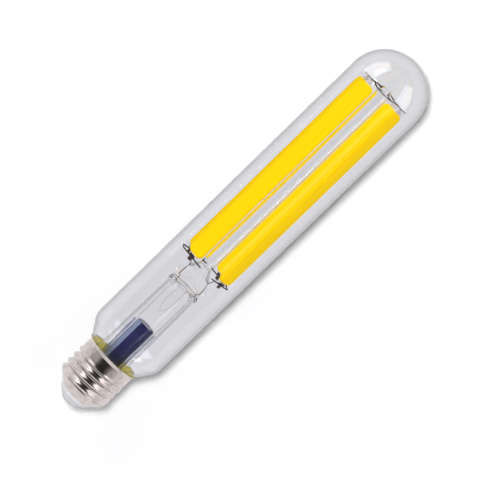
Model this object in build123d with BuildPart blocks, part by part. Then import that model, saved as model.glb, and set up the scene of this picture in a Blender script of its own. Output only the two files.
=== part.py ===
from build123d import *
import os
from math import cos, pi, radians, sin, sqrt, tan

os.makedirs("parts", exist_ok=True)

# Tubular filament lamp with a screw cap. The lamp's axis is Z and the cap points down.
# The origin is the end of the centre contact, which is what a lamp holder touches first.
# All sizes are in millimetres. Filament 1 is the one that stands front right.

# Envelope
overall_length = 211.2
tube_diameter = 37.2
glass_wall = 1.0
neck_end_z = 19.0
shoulder_start_z = 25.4
shoulder_angle = 34.0
shoulder_lower_bend = 4.0
shoulder_upper_bend = 8.0

# Screw shell of the cap, rolled from thin sheet
root_diameter = 24.4
thread_depth = 0.95
thread_pitch = 3.629
thread_start_z = 9.4
thread_turns = 3.6
thread_crest_z = 21.1
thread_runout_turns = 0.35
thread_points_per_turn = 6
shell_wall = 0.3
skirt_height = 4.6
rim_flare = 0.925
rim_height = 1.5
cement_gap = 0.9
cone_end_diameter = 15.8
cone_end_z = 4.7

# Insulator and centre contact
contact_diameter = 8.8
contact_flat_diameter = 5.0
contact_thickness = 0.9
rivet_diameter = 3.2
rivet_bore_diameter = 1.4
rivet_length = 9.6
rivet_floor_z = 2.7
contact_wire_end_z = 12.1
insulator_top_z = 8.6
insulator_edge = 0.6

# Glass stem
stem_base_diameter = 16.5
stem_taper = 1.3
stem_wall = 1.0
stem_straight_z = 24.5
stem_shoulder_z = 67.0
stem_dome_height = 4.6
flare_lip = 1.2
press_z = 72.7
press_width = 16.4
press_thickness = 6.4
press_roll_diameter = 6.4
notch_depth = 1.5
notch_height = 1.4
button_diameter = 16.8
button_upper_z = 77.4
button_shoulder_diameter = 13.0
button_shoulder_z = 79.6
rod_start_z = 85.0
exhaust_diameter = 6.0
exhaust_wall = 1.0
exhaust_tip_z = 54.5
exhaust_taper = 6.0

# Centre rod and the wires at its head
rod_diameter = 6.4
rod_above_arms = 1.6
wire_diameter = 0.6
ring_wire_diameter = 0.8
ring_diameter = 11.8
arm_reach = 15.0
arm_grip = 1.6

# Filament strips
filament_count = 4
filament_azimuth = -35.5
filament_radius = 12.4
coat_start_z = 86.3
coat_head_room = 20.9
coat_width = 9.2
coat_thickness = 2.2
coat_edge = 0.8
strip_width = 5.0
strip_thickness = 0.6
strip_overhang = 1.0
lug_sheet = 0.25
lug_overlap = 0.7
tongue_width = 2.0
tongue_length = 1.2
tail_length = 1.1

# Lower wires
bus_half_length = 7.0
bus_bend = 1.5
lead_diameter = 0.5
lead_bend_z = 79.6
lead_bend = 4.0
lead_start_z = 17.5

# Driver, inside the cap and the hollow of the stem
driver_offset = 0.4
board_gap = 0.5
board_thickness = 1.0
board_start_z = 10.6
board_height = 11.6
capacitor_diameter = 8.8
capacitor_length = 25.0
capacitor_start_z = 23.3
capacitor_edge = 0.7
vent_depth = 0.2
vent_width = 0.4
sleeve_wall = 0.2
sleeve_lip = 0.9
bung_diameter = 7.6
bung_height = 1.6
capacitor_leg_diameter = 0.5
capacitor_leg_spacing = 3.5
shrink_wall = 0.2
shrink_gap = 0.45
shrink_start_z = 19.6
shrink_end_z = 47.4
inductor_diameter = 6.0
inductor_height = 5.0
inductor_waist_diameter = 3.4
inductor_flange = 0.8
winding_recess = 0.2
inductor_z = 14.4
rectifier_size = (4.7, 1.8, 3.9)
controller_size = (4.9, 1.5, 3.9)
lead_foot = (0.6, 0.5, 0.4)
resistor_diameter = 2.4
resistor_length = 5.6
resistor_cap_length = 1.1
resistor_cap_rim = 0.15
resistor_edge_gap = 1.0
shell_wire_drop = 1.5
shell_wire_bend = 1.0

fit = 0.03

# Sizes that follow from the ones above
tube_radius = tube_diameter / 2
dome_centre_z = overall_length - tube_radius
thread_mean_radius = (root_diameter + thread_depth) / 2
shell_bore_radius = root_diameter / 2 - shell_wall
rim_radius = thread_mean_radius + rim_flare
neck_radius = shell_bore_radius - cement_gap
shoulder_end_z = shoulder_start_z + (tube_radius - neck_radius) / tan(radians(shoulder_angle))
thread_end_z = thread_start_z + thread_turns * thread_pitch
skirt_end_z = thread_end_z + skirt_height
rim_z = skirt_end_z + rim_height
cone_end_radius = cone_end_diameter / 2
coat_end_z = overall_length - coat_head_room
coat_length = coat_end_z - coat_start_z
lower_wire_z = coat_start_z - strip_overhang - tongue_length / 2
upper_lug_end_z = coat_end_z + strip_overhang + tongue_length
arm_z = upper_lug_end_z + wire_diameter / 2 + fit
rod_end_z = arm_z + rod_above_arms
bus_radius = filament_radius - lug_sheet / 2 - wire_diameter / 2 - fit
stem_head_diameter = stem_base_diameter - stem_taper
shrink_radius = stem_base_diameter / 2 - stem_wall - driver_offset - shrink_wall - shrink_gap
board_width = 2 * (shrink_radius - board_gap)
lead_reach = (shrink_radius + capacitor_diameter / 2 + sleeve_wall) / 2
stem_dome_z = press_z - notch_height - stem_wall
board_face_y = lead_diameter / 2
board_middle_y = board_face_y + board_thickness / 2
board_back_y = board_face_y + board_thickness


def around(radius, azimuth, z=0.0):
    """A point at a distance from the axis, in a direction and at a height."""
    turn = radians(azimuth)
    return Vector(radius * cos(turn), radius * sin(turn), z)


def envelope_profile(inset):
    """Half the section of the blown glass, moved towards the axis by the inset."""
    shift = inset * tan(radians(shoulder_angle / 2))
    tube, neck = tube_radius - inset, neck_radius - inset
    with BuildLine() as outline:
        wall = FilletPolyline(
            (neck, neck_end_z),
            (neck, shoulder_start_z + shift),
            (tube, shoulder_end_z + shift),
            (tube, dome_centre_z),
            radius=[shoulder_lower_bend + inset, shoulder_upper_bend - inset],
        )
        RadiusArc((tube, dome_centre_z), (0, dome_centre_z + tube), -tube)
        Polyline((0, dome_centre_z + tube), (0, neck_end_z), (neck, neck_end_z))
    return outline.line


def cap_arc(edge_radius, edge_z, top_z):
    """The arc from a round edge to a point on the axis, with its centre on the axis."""
    rise = abs(top_z - edge_z)
    ball = (edge_radius**2 + rise**2) / (2 * rise)
    centre_z = top_z - ball if top_z > edge_z else top_z + ball
    middle = Vector(edge_radius, edge_z) - Vector(0, centre_z) + Vector(0, top_z) - Vector(0, centre_z)
    ThreePointArc((edge_radius, edge_z), Vector(0, centre_z) + middle.normalized() * ball, (0, top_z))


def thread_centres():
    """Centres of the shell's round section as it is carried up the thread.

    A circle moved round a small helix leaves a rounded thread behind it: it stands out by
    the helix's radius on one side and sinks in by as much on the other. The helix shrinks
    to nothing at both ends, where the thread runs out into the plain shell.
    """
    steps = round(thread_turns * thread_points_per_turn)
    crest_turns = (thread_crest_z - thread_start_z) / thread_pitch
    centres = []
    for step in range(steps + 1):
        turns = thread_turns * step / steps
        ramp = min(1.0, turns / thread_runout_turns, (thread_turns - turns) / thread_runout_turns)
        swing = thread_depth / 2 * ramp * ramp * (3 - 2 * ramp)
        turn = pi + 2 * pi * (turns - crest_turns)
        centres.append((swing * cos(turn), swing * sin(turn), thread_start_z + turns * thread_pitch))
    return centres


def filament_plane(azimuth, z):
    """A plane that faces out from the axis at a filament, with its x along the lamp's axis."""
    return Plane(origin=around(filament_radius, azimuth, z), x_dir=(0, 0, 1), z_dir=around(1, azimuth))


azimuths = [filament_azimuth + 90 * n for n in range(filament_count)]

# Glass envelope: tube, round dome and the neck that sits in the cap
with BuildPart() as glass_envelope:
    with BuildSketch(Plane.XZ):
        make_face(envelope_profile(0.0))
    revolve(axis=Axis.Z)
    with BuildSketch(Plane.XZ):
        make_face(envelope_profile(glass_wall))
    revolve(axis=Axis.Z, mode=Mode.SUBTRACT)

# Screw shell: rolled thread, plain skirt, flared rim and cone. Its hidden bore is plain.
with BuildPart() as cap_shell:
    with BuildLine() as thread_path:
        Spline(*thread_centres())
    with BuildSketch(Plane.XY.offset(thread_start_z)):
        Circle(thread_mean_radius)
    sweep(path=thread_path.line, normal=(0, 0, 1))
    with BuildSketch(Plane.XZ):
        with BuildLine():
            Polyline(
                (0, thread_end_z),
                (thread_mean_radius, thread_end_z),
                (thread_mean_radius, skirt_end_z),
                (rim_radius, rim_z),
                (0, rim_z),
                close=True,
            )
        make_face()
        with BuildLine():
            Polyline(
                (0, cone_end_z),
                (cone_end_radius, cone_end_z),
                (thread_mean_radius, thread_start_z),
                (0, thread_start_z),
                close=True,
            )
        make_face()
    revolve(axis=Axis.Z)
    with BuildSketch(Plane.XY.offset(thread_start_z)):
        Circle(shell_bore_radius)
    extrude(amount=thread_end_z - thread_start_z, mode=Mode.SUBTRACT)
    with BuildSketch(Plane.XZ):
        with BuildLine():
            Polyline(
                (0, thread_end_z),
                (thread_mean_radius - shell_wall, thread_end_z),
                (thread_mean_radius - shell_wall, skirt_end_z),
                (rim_radius - shell_wall, rim_z),
                (0, rim_z),
                close=True,
            )
        make_face()
        with BuildLine():
            Polyline(
                (0, cone_end_z),
                (cone_end_radius - shell_wall * sqrt(2), cone_end_z),
                (shell_bore_radius, thread_start_z),
                (0, thread_start_z),
                close=True,
            )
        make_face()
    revolve(axis=Axis.Z, mode=Mode.SUBTRACT)

# Insulator: moulded plug that closes the cone and carries the contact
cone_bore_radius = cone_end_radius - shell_wall * sqrt(2)
cone_slope = (shell_bore_radius - cone_bore_radius) / (thread_start_z - cone_end_z)
insulator_seat_radius = cone_bore_radius - 2 * fit
insulator_top_radius = insulator_seat_radius + (insulator_top_z - cone_end_z) * cone_slope
with BuildPart() as insulator:
    with BuildSketch(Plane.XZ):
        with BuildLine():
            Polyline(
                (rivet_diameter / 2 + fit, contact_thickness),
                (contact_diameter / 2 + fit, contact_thickness),
                (cone_end_radius - insulator_edge, cone_end_z - 2 * insulator_edge),
                (cone_end_radius, cone_end_z - fit),
                (insulator_seat_radius, cone_end_z - fit),
                (insulator_top_radius, insulator_top_z),
                (rivet_diameter / 2 + fit, insulator_top_z),
                close=True,
            )
        make_face()
    revolve(axis=Axis.Z)

# Centre contact: riveted button with a hollow shank that takes the inner wire
with BuildPart() as centre_contact:
    with BuildSketch(Plane.XZ):
        with BuildLine():
            Line((0, 0), (contact_flat_diameter / 2, 0))
            TangentArc(
                (contact_flat_diameter / 2, 0),
                (contact_diameter / 2, contact_thickness),
                tangent=(1, 0),
            )
            Polyline(
                (contact_diameter / 2, contact_thickness),
                (rivet_diameter / 2, contact_thickness),
                (rivet_diameter / 2, rivet_length),
                (rivet_bore_diameter / 2, rivet_length),
                (rivet_bore_diameter / 2, rivet_floor_z),
                (0, rivet_floor_z),
                (0, 0),
            )
        make_face()
    revolve(axis=Axis.Z)

# Cement ring between the neck and the shell, with a bead under the rim
with BuildPart() as basing_cement:
    bead_z = rim_z - fit
    with BuildSketch(Plane.XZ):
        with BuildLine():
            Polyline(
                (neck_radius + fit, neck_end_z),
                (shell_bore_radius - fit, neck_end_z),
                (shell_bore_radius - fit, thread_end_z),
                (thread_mean_radius - shell_wall - fit, thread_end_z + thread_depth),
                (thread_mean_radius - shell_wall - fit, skirt_end_z),
                (rim_radius - shell_wall - fit, bead_z),
                (neck_radius + fit, bead_z),
                close=True,
            )
        make_face()
    revolve(axis=Axis.Z)
    with BuildSketch(Plane.XZ):
        make_face(envelope_profile(-fit))
    revolve(axis=Axis.Z, mode=Mode.SUBTRACT)

# Lead wires: straight up through the press, then out to the lower wires
lead_wires = {}
for name, side, azimuth in (("left", -1, azimuths[3]), ("right", 1, azimuths[0])):
    foot = Vector(driver_offset + side * lead_reach, 0, lead_start_z)
    bend = Vector(foot.X, 0, lead_bend_z)
    end = around(bus_radius - wire_diameter / 2 - fit, azimuth, lower_wire_z - lead_diameter / 2)
    with BuildPart() as lead_wire:
        with BuildLine() as route:
            FilletPolyline(foot, bend, end, radius=lead_bend)
        with BuildSketch(Plane(origin=foot)):
            Circle(lead_diameter / 2)
        sweep(path=route.line)
    lead_wires[name] = lead_wire

# Glass stem: flared foot, hollow tube, rolled press and the solid button above it
with BuildPart() as glass_stem:
    with BuildSketch(Plane.YZ):
        with BuildLine():
            Polyline(
                (neck_radius - glass_wall, neck_end_z - flare_lip),
                (neck_radius, neck_end_z - flare_lip),
                (neck_radius, neck_end_z),
                (neck_radius - glass_wall, neck_end_z),
            )
            TangentArc(
                (stem_base_diameter / 2, stem_straight_z),
                (neck_radius - glass_wall, neck_end_z),
                tangent=(0, -1),
            )
            Polyline(
                (stem_base_diameter / 2, stem_straight_z),
                (stem_head_diameter / 2, stem_shoulder_z),
                (press_width / 2, press_z - notch_height / 2),
                (press_width / 2 - notch_depth, press_z),
                (button_diameter / 2, press_z + notch_height / 2),
                (button_diameter / 2, button_upper_z),
            )
            TangentArc(
                (button_diameter / 2, button_upper_z),
                (button_shoulder_diameter / 2, button_shoulder_z),
                tangent=(0, 1),
            )
            Polyline(
                (button_shoulder_diameter / 2, button_shoulder_z),
                (rod_diameter / 2, rod_start_z),
                (0, rod_start_z),
                (0, stem_dome_z),
            )
            cap_arc(stem_head_diameter / 2 - stem_wall, stem_dome_z - stem_dome_height, stem_dome_z)
            Line(
                (stem_head_diameter / 2 - stem_wall, stem_dome_z - stem_dome_height),
                (stem_base_diameter / 2 - stem_wall, stem_straight_z),
            )
            TangentArc(
                (stem_base_diameter / 2 - stem_wall, stem_straight_z),
                (neck_radius - glass_wall, neck_end_z - flare_lip),
                tangent=(0, -1),
            )
        make_face()
    revolve(axis=Axis.Z)
    roll_y = (press_thickness + press_roll_diameter) / 2
    with Locations((0, roll_y, press_z), (0, -roll_y, press_z)):
        Cylinder(press_roll_diameter / 2, 2 * button_diameter, rotation=(0, 90, 0), mode=Mode.SUBTRACT)
    for lead_wire in lead_wires.values():
        add(lead_wire.part, mode=Mode.SUBTRACT)

# Exhaust tube: hangs from the press, drawn out and closed by a small round tip
tip_radius = exhaust_diameter / 2 - exhaust_wall
with BuildPart() as exhaust_tube:
    with BuildSketch(Plane.YZ):
        with BuildLine():
            cap_arc(tip_radius / 2, exhaust_tip_z + exhaust_wall / 2, exhaust_tip_z)
            Polyline(
                (tip_radius / 2, exhaust_tip_z + exhaust_wall / 2),
                (exhaust_diameter / 2, exhaust_tip_z + exhaust_taper),
                (exhaust_diameter / 2, press_z),
                (tip_radius, press_z),
                (tip_radius, exhaust_tip_z + exhaust_taper),
                (0, exhaust_tip_z + 2 * exhaust_wall),
                (0, exhaust_tip_z),
            )
        make_face()
    revolve(axis=Axis.Z)
    add(glass_stem.part, mode=Mode.SUBTRACT)

# Arms: wires held in the head of the rod, one out over each filament
arms = []
for azimuth in azimuths:
    with BuildPart() as arm:
        grip = around(rod_diameter / 2 - arm_grip, azimuth, arm_z)
        with BuildSketch(Plane(origin=grip, z_dir=around(1, azimuth))):
            Circle(wire_diameter / 2)
        extrude(amount=arm_reach - rod_diameter / 2 + arm_grip)
    arms.append(arm)

# Ring: lies on the arms round the rod and joins them
with BuildPart() as top_ring:
    with Locations((0, 0, arm_z + (wire_diameter + ring_wire_diameter) / 2 + fit)):
        Torus(ring_diameter / 2, ring_wire_diameter / 2)

# Centre rod: glass cane fused to the button, with a melted round head
with BuildPart() as centre_rod:
    with BuildSketch(Plane.XY.offset(rod_start_z)):
        Circle(rod_diameter / 2)
    extrude(amount=rod_end_z - rod_start_z)
    fillet(centre_rod.edges().sort_by(Axis.Z)[-1], rod_diameter / 2 - arm_grip)
    for arm in arms:
        add(arm.part, mode=Mode.SUBTRACT)

# Filaments: a stiff strip in a coat of yellow silicone, with a metal lug folded on each end
strips, coats, lower_lugs, upper_lugs = [], [], [], []
for azimuth in azimuths:
    middle = filament_plane(azimuth, coat_start_z + coat_length / 2)
    outward = Axis((0, 0, 0), around(1, azimuth))

    with BuildPart() as strip:
        with BuildSketch(middle) as strip_outline:
            Rectangle(coat_length + 2 * strip_overhang, strip_width)
            chamfer(strip_outline.vertices(), strip_overhang)
        extrude(amount=strip_thickness / 2, both=True)
    strips.append(strip)

    with BuildPart() as coat:
        with BuildSketch(middle):
            SlotOverall(coat_length, coat_width)
        extrude(amount=coat_thickness / 2, both=True)
        fillet(coat.faces().filter_by(outward).edges(), coat_edge)
        add(strip.part, mode=Mode.SUBTRACT)
    coats.append(coat)

    for lugs, end_z, inward, tongue in (
        (lower_lugs, coat_start_z - strip_overhang, 1, tongue_length + tail_length),
        (upper_lugs, coat_end_z + strip_overhang, -1, tongue_length),
    ):
        side_on = Plane(
            origin=around(filament_radius, azimuth, end_z),
            x_dir=around(1, azimuth),
            z_dir=around(inward, azimuth - 90),
        )
        with BuildPart() as lug:
            with BuildSketch(side_on):
                with Locations((0, (lug_overlap - lug_sheet) / 2 - fit)):
                    Rectangle(strip_thickness + 2 * (lug_sheet + fit), lug_overlap + lug_sheet)
                with Locations((0, lug_overlap / 2 - fit)):
                    Rectangle(strip_thickness + 2 * fit, lug_overlap, mode=Mode.SUBTRACT)
            extrude(amount=strip_width / 2 - strip_overhang, both=True)
            with BuildSketch(side_on):
                with Locations((0, -(tongue + fit) / 2)):
                    Rectangle(lug_sheet, tongue - fit)
            extrude(amount=tongue_width / 2, both=True)
        lugs.append(lug)

# Lower wires: each is bent once round its side and joins two filaments to one lead
bus_wires = {}
for name, first, second in (("left", azimuths[3], azimuths[2]), ("right", azimuths[1], azimuths[0])):
    corners = []
    for azimuth in (first, second):
        along = around(bus_half_length, azimuth + 90)
        corners.append(around(bus_radius, azimuth, lower_wire_z) + along)
        corners.append(around(bus_radius, azimuth, lower_wire_z) - along)
    with BuildPart() as bus_wire:
        with BuildLine() as route:
            FilletPolyline(*corners, radius=bus_bend)
        with BuildSketch(Plane(origin=corners[0], z_dir=corners[1] - corners[0])):
            Circle(wire_diameter / 2)
        sweep(path=route.line)
    bus_wires[name] = bus_wire

# Driver board: stands in the cap, edge up
with BuildPart() as driver_board:
    with Locations((driver_offset, board_middle_y, board_start_z + board_height / 2)):
        Box(board_width, board_thickness, board_height)

# Storage capacitor: aluminium can with a scored vent, a rubber bung and two legs
capacitor_end_z = capacitor_start_z + capacitor_length
capacitor_radius = capacitor_diameter / 2
with BuildPart() as capacitor_can:
    with BuildSketch(Plane.XY.offset(capacitor_start_z)):
        with Locations((driver_offset, 0)):
            Circle(capacitor_radius)
    extrude(amount=capacitor_length)
    fillet(capacitor_can.edges().sort_by(Axis.Z)[-1], capacitor_edge)
    can_body = capacitor_can.part
    with BuildSketch(Plane.XY.offset(capacitor_start_z)):
        with Locations((driver_offset, 0)):
            Circle(bung_diameter / 2)
    extrude(amount=bung_height, mode=Mode.SUBTRACT)
    with BuildSketch(Plane.XY.offset(capacitor_end_z)):
        for turn in (45, 135):
            with Locations(Location((driver_offset, 0, 0), (0, 0, turn))):
                Rectangle(capacitor_radius, vent_width)
    extrude(amount=-vent_depth, mode=Mode.SUBTRACT)

with BuildPart() as capacitor_bung:
    with BuildSketch(Plane.XY.offset(capacitor_start_z)):
        with Locations((driver_offset, 0)):
            Circle(bung_diameter / 2)
    extrude(amount=bung_height)

with BuildPart() as capacitor_legs:
    with BuildSketch(Plane.XY.offset(capacitor_start_z)):
        for side in (-1, 1):
            with Locations((driver_offset + side * capacitor_leg_spacing / 2, 0)):
                Circle(capacitor_leg_diameter / 2)
    extrude(amount=lead_start_z - capacitor_start_z)

# Capacitor sleeve: shrunk on the can and folded a little way over its end
with BuildPart() as capacitor_sleeve:
    with BuildSketch(Plane.XY.offset(capacitor_start_z)):
        with Locations((driver_offset, 0)):
            Circle(capacitor_radius + sleeve_wall)
    extrude(amount=capacitor_length + sleeve_wall)
    fillet(capacitor_sleeve.edges().sort_by(Axis.Z)[-1], capacitor_edge)
    add(can_body, mode=Mode.SUBTRACT)
    with BuildSketch(Plane.XY.offset(capacitor_end_z)):
        with Locations((driver_offset, 0)):
            Circle(capacitor_radius - sleeve_lip)
    extrude(amount=sleeve_wall, mode=Mode.SUBTRACT)

# Clear sleeve: loose heat-shrink tube round the capacitor and the top of the board
with BuildPart() as clear_sleeve:
    with BuildSketch(Plane.XY.offset(shrink_start_z)):
        with Locations((driver_offset, 0)):
            Circle(shrink_radius + shrink_wall)
            Circle(shrink_radius, mode=Mode.SUBTRACT)
    extrude(amount=shrink_end_z - shrink_start_z)

# Choke: ferrite drum on the board's front, with its winding between the flanges
choke_x = driver_offset + inductor_diameter / 2
choke_plane = Plane(origin=(choke_x, board_face_y, inductor_z), x_dir=(1, 0, 0), z_dir=(0, -1, 0))
with BuildPart() as choke_core:
    with BuildSketch(choke_plane):
        Circle(inductor_diameter / 2)
    extrude(amount=inductor_height)
    with BuildSketch(choke_plane.offset(inductor_flange)):
        Circle(inductor_diameter / 2)
        Circle(inductor_waist_diameter / 2, mode=Mode.SUBTRACT)
    extrude(amount=inductor_height - 2 * inductor_flange, mode=Mode.SUBTRACT)

with BuildPart() as choke_winding:
    with BuildSketch(choke_plane.offset(inductor_flange + fit)):
        Circle(inductor_diameter / 2 - winding_recess)
        Circle(inductor_waist_diameter / 2 + fit, mode=Mode.SUBTRACT)
    extrude(amount=inductor_height - 2 * (inductor_flange + fit))

# Fuse resistor: stands on the board's front, beside the choke
resistor_x = driver_offset - board_width / 2 + resistor_edge_gap + resistor_diameter / 2
resistor_y = board_face_y - resistor_diameter / 2 - resistor_cap_rim
resistor_start_z = inductor_z - resistor_length / 2
with BuildPart() as fuse_resistor:
    with BuildSketch(Plane.XY.offset(resistor_start_z)):
        with Locations((resistor_x, resistor_y)):
            Circle(resistor_diameter / 2)
    extrude(amount=resistor_length)
    for end_z in (resistor_start_z, resistor_start_z + resistor_length - resistor_cap_length):
        with BuildSketch(Plane.XY.offset(end_z)):
            with Locations((resistor_x, resistor_y)):
                Circle(resistor_diameter / 2 + resistor_cap_rim)
        extrude(amount=resistor_cap_length)

# Rectifier and controller: flat packages on the board's back, each on four feet
chips = {}
for name, size, chip_x, chip_z in (
    ("rectifier", rectifier_size, driver_offset - rectifier_size[0] / 2, inductor_z),
    ("controller", controller_size, driver_offset, inductor_z + rectifier_size[2] + lead_foot[0]),
):
    with BuildPart() as chip:
        stand = lead_foot[2] / 2
        with Locations((chip_x, board_back_y + stand + size[1] / 2, chip_z)):
            Box(*size)
            chamfer(chip.faces().sort_by(Axis.Y)[-1].edges(), stand)
        foot_run = size[0] + lead_foot[1]
        with BuildSketch(Plane(origin=(chip_x, board_back_y, chip_z), x_dir=(1, 0, 0), z_dir=(0, 1, 0))):
            with GridLocations(foot_run, size[2] / 2, 2, 2):
                Rectangle(2 * lead_foot[1], lead_foot[0])
        extrude(amount=lead_foot[2])
    chips[name] = chip

# Contact wire: runs up out of the rivet to the foot of the board
with BuildPart() as contact_wire:
    with BuildSketch(Plane.XY.offset(rivet_floor_z)):
        Circle(lead_diameter / 2)
    extrude(amount=contact_wire_end_z - rivet_floor_z)

# Shell wire: runs from the back of the board to the inside of the screw shell
wire_x = driver_offset + rectifier_size[0] / 2
wire_y = board_back_y + lead_diameter / 2
turn_z = neck_end_z - flare_lip - shell_wire_drop
with BuildPart() as shell_wire:
    with BuildLine() as route:
        FilletPolyline(
            (wire_x, wire_y, board_start_z + lead_diameter),
            (wire_x, wire_y, turn_z),
            (wire_x, sqrt((shell_bore_radius - lead_diameter) ** 2 - wire_x**2), turn_z),
            radius=shell_wire_bend,
        )
    with BuildSketch(Plane(origin=(wire_x, wire_y, board_start_z + lead_diameter))):
        Circle(lead_diameter / 2)
    sweep(path=route.line)

# Names and files
pieces = {
    "glass_envelope": glass_envelope,
    "cap_shell": cap_shell,
    "insulator": insulator,
    "centre_contact": centre_contact,
    "basing_cement": basing_cement,
    "glass_stem": glass_stem,
    "exhaust_tube": exhaust_tube,
    "centre_rod": centre_rod,
    "top_ring": top_ring,
    "driver_board": driver_board,
    "capacitor_can": capacitor_can,
    "capacitor_bung": capacitor_bung,
    "capacitor_legs": capacitor_legs,
    "capacitor_sleeve": capacitor_sleeve,
    "clear_sleeve": clear_sleeve,
    "choke_core": choke_core,
    "choke_winding": choke_winding,
    "fuse_resistor": fuse_resistor,
    "contact_wire": contact_wire,
    "shell_wire": shell_wire,
}
for side in ("left", "right"):
    pieces[f"lead_wire_{side}"] = lead_wires[side]
    pieces[f"lower_wire_{side}"] = bus_wires[side]
for name, chip in chips.items():
    pieces[name] = chip
for number in range(filament_count):
    pieces[f"filament_strip_{number + 1}"] = strips[number]
    pieces[f"filament_coat_{number + 1}"] = coats[number]
    pieces[f"lower_lug_{number + 1}"] = lower_lugs[number]
    pieces[f"upper_lug_{number + 1}"] = upper_lugs[number]
    pieces[f"top_arm_{number + 1}"] = arms[number]
for name, piece in pieces.items():
    piece.part.label = name
    export_step(piece.part, f"parts/{name}.step")
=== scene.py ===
# %% [markdown]
# # A tubular filament lamp with a screw cap
# The lamp lies on white paper and is seen from straight above. Its cap is at the lower left.
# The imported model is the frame: the lamp's axis is Z, the cap points down, and the paper
# stands behind it, where Y is positive. Sizes are written in millimetres, as on a drawing,
# and become metres when a mesh is made.

# %% Load the frame
from math import cos, pi, radians, sin, tan

import bmesh
import bpy
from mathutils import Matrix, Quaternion, Vector, noise


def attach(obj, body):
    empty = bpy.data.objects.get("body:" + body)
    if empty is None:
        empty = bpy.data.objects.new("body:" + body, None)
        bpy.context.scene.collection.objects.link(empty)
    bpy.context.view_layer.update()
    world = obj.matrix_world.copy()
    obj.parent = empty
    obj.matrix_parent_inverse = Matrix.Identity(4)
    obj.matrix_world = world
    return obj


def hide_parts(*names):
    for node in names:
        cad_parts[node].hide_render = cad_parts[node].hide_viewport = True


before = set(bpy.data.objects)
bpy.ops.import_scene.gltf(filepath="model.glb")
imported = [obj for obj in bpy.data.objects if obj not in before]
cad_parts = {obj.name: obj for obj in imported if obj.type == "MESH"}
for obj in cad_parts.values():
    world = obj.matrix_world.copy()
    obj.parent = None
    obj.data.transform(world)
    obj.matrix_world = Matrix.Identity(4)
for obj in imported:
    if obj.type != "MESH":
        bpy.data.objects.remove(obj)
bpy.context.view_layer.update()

MM = 0.001

# %% [markdown]
# Looks and some shapes come from node trees. A few short functions add their nodes, so that
# each line says what a node does and what feeds it.

# %% Node helpers


def fill(tree, node, inputs):
    """Fills a node's inputs. Each one is a value, or a socket or a whole node to be linked."""
    for title, value in inputs.items():
        if isinstance(value, bpy.types.Node):
            value = value.outputs[0]
        if isinstance(value, bpy.types.NodeSocket):
            tree.links.new(value, node.inputs[title])
        else:
            node.inputs[title].default_value = value
    return node


def add_node(tree, kind, inputs=None, **settings):
    """Adds a node to a tree: its settings first, because they change which inputs it has."""
    node = tree.nodes.new(kind)
    for name, value in settings.items():
        setattr(node, name, value)
    return fill(tree, node, inputs or {})


def math_node(tree, operation, *terms):
    return add_node(tree, "ShaderNodeMath", dict(enumerate(terms)), operation=operation)


def map_range(tree, value, start, end, low=0.0, high=1.0):
    """Turns start to end into low to high, and holds the value at both ends."""
    return add_node(tree, "ShaderNodeMapRange", {
        "Value": value, "From Min": start, "From Max": end, "To Min": low, "To Max": high})


def shader_mix(tree, share, first, second):
    return add_node(tree, "ShaderNodeMixShader", {0: share, 1: first, 2: second})


def colour_mix(tree, share, first, second):
    """Mixes two colours and returns the socket with the result."""
    mixed = add_node(tree, "ShaderNodeMix", {"Factor": share, "A": first, "B": second}, data_type="RGBA")
    return mixed.outputs["Result"]


def grey_ramp(tree, share, stops):
    """A ramp of grey levels, given as pairs of place and level."""
    ramp = add_node(tree, "ShaderNodeValToRGB", {"Fac": share})
    elements = ramp.color_ramp.elements
    while len(elements) < len(stops):
        elements.new(1.0)
    for stop, (place, level) in zip(elements, stops):
        stop.position, stop.color = place, (level, level, level, 1)
    return ramp


print("node helpers")

# %% [markdown]
# ## Camera
# The photograph was taken from one metre away, almost square to the lamp and about six
# degrees towards its dome. The lamp runs up to the right at 44 degrees, so the camera is
# rolled. A long lens keeps the tube's sides parallel. Depth of field stays off.

# %% Camera
CAMERA_TILT, CAMERA_ROLL = 6.1, 45.8
CAMERA_DISTANCE, CAMERA_LENS = 0.98, 169.95
camera_target = Vector((2.17, 0, 103.7)) * MM


def direction(azimuth, elevation):
    """From the lamp towards a viewer. Azimuth 0 is the camera's side and grows to the right."""
    a, e = radians(azimuth), radians(elevation)
    return Vector((sin(a) * cos(e), -cos(a) * cos(e), sin(e)))


def linked(name, data):
    """A new object in the scene that carries the data."""
    added = bpy.data.objects.new(name, data)
    bpy.context.scene.collection.objects.link(added)
    return added


camera = linked("camera", bpy.data.cameras.new("camera"))
camera.data.lens = CAMERA_LENS
camera.data.sensor_width = 36
toward_camera = direction(0, CAMERA_TILT)
camera.location = camera_target + toward_camera * CAMERA_DISTANCE
camera.rotation_mode = "QUATERNION"
upright = (-toward_camera).to_track_quat("-Z", "Y")
camera.rotation_quaternion = upright @ Quaternion((0, 0, 1), radians(CAMERA_ROLL))
bpy.context.scene.camera = camera
bpy.context.scene.view_settings.view_transform = "Standard"
print("camera at", [round(c, 3) for c in camera.location])

# %% [markdown]
# ## Paper, lamps and world
# White paper under a studio lamp can be had from one strong lamp, but then pale metal and
# glass burn out. Here the lamps give the object a plain level, and the paper adds a little
# light of its own to camera and mirror rays. Its shadow stays. In clear glass the photograph
# shows one flat light grey, so rays that came through glass meet one even level, on paper
# and world alike. From behind, the paper is see-through, so the back can be looked at too.

# %% Paper
PAPER_GAP, PAPER_SIZE = 0.3, 2.0
PAPER_GLOW, UNDER_GLASS = 0.05, 0.96
THROUGH_GLASS, IN_MIRRORS = 0.86, 0.6
tube_radius = 18.6
paper_y = (tube_radius + PAPER_GAP) * MM
paper_corners = [(x * PAPER_SIZE, paper_y, z * PAPER_SIZE) for x, z in ((-1, -1), (1, -1), (1, 1), (-1, 1))]
paper_mesh = bpy.data.meshes.new("paper")
paper_mesh.from_pydata(paper_corners, [], [(0, 1, 2, 3)])
paper = linked("paper", paper_mesh)

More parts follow.
